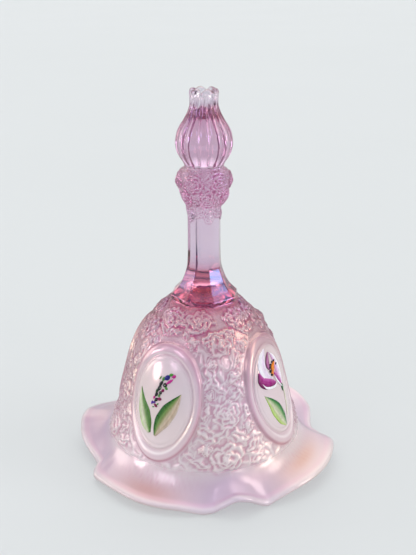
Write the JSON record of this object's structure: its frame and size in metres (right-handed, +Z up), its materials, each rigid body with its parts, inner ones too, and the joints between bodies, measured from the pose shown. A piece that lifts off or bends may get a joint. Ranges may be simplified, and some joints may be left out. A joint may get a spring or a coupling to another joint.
{
  "type": "hand bell",
  "caption": "Pressed pink glass hand bell with a fluted bud handle, oval medallions, a ruffled skirt and a chain-hung clapper.",
  "frame": {"origin": "middle of the plane that the rim's low points rest on", "axes": "+Z up along the bell's axis; medallions face -Y, +X, +Y and -X"},
  "size_m": [0.1218, 0.1218, 0.171],
  "materials": {
    "glass": "pressed translucent pink glass with an iridescent, slightly milky skin",
    "cement": "clear rosy cement",
    "chain": "bright plated wire",
    "clapper": "clear pressed glass",
    "enamel_green": "fired enamel, brushed from dark to light green",
    "enamel_purple": "fired enamel in magenta and violet",
    "enamel_dark": "fired dark blue and black enamel",
    "enamel_orange": "fired orange enamel",
    "enamel_white": "fired white enamel"
  },
  "bodies": {
    "bell": {"glass_bell": "glass", "cement_plug": "cement", "wire_staple": "chain"},
    "link_1": {"chain_link_1": "chain"},
    "link_2": {"chain_link_2": "chain"},
    "link_3": {"chain_link_3": "chain"},
    "link_4": {"chain_link_4": "chain"},
    "link_5": {"chain_link_5": "chain"},
    "clapper": {"clapper_pin": "chain", "clapper_ball": "clapper"}
  },
  "joints": [
    {"name": "link_1_swing", "type": "hinge", "parent": "bell", "child": "link_1", "pos_m": [0, 0, 0.07755], "axis": [1, 0, 0], "range_deg": [-11, 11]},
    {"name": "link_2_swing", "type": "hinge", "parent": "link_1", "child": "link_2", "pos_m": [0, 0, 0.0716], "axis": [0, 1, 0], "range_deg": [-13, 13]},
    {"name": "link_3_swing", "type": "hinge", "parent": "link_2", "child": "link_3", "pos_m": [0, 0, 0.06565], "axis": [1, 0, 0], "range_deg": [-11, 11]},
    {"name": "link_4_swing", "type": "hinge", "parent": "link_3", "child": "link_4", "pos_m": [0, 0, 0.0597], "axis": [0, 1, 0], "range_deg": [-13, 13]},
    {"name": "link_5_swing", "type": "hinge", "parent": "link_4", "child": "link_5", "pos_m": [0, 0, 0.05375], "axis": [1, 0, 0], "range_deg": [-11, 11]},
    {"name": "clapper_swing", "type": "hinge", "parent": "link_5", "child": "clapper", "pos_m": [0, 0, 0.0478], "axis": [0, 1, 0], "range_deg": [-13, 13]}
  ]
}
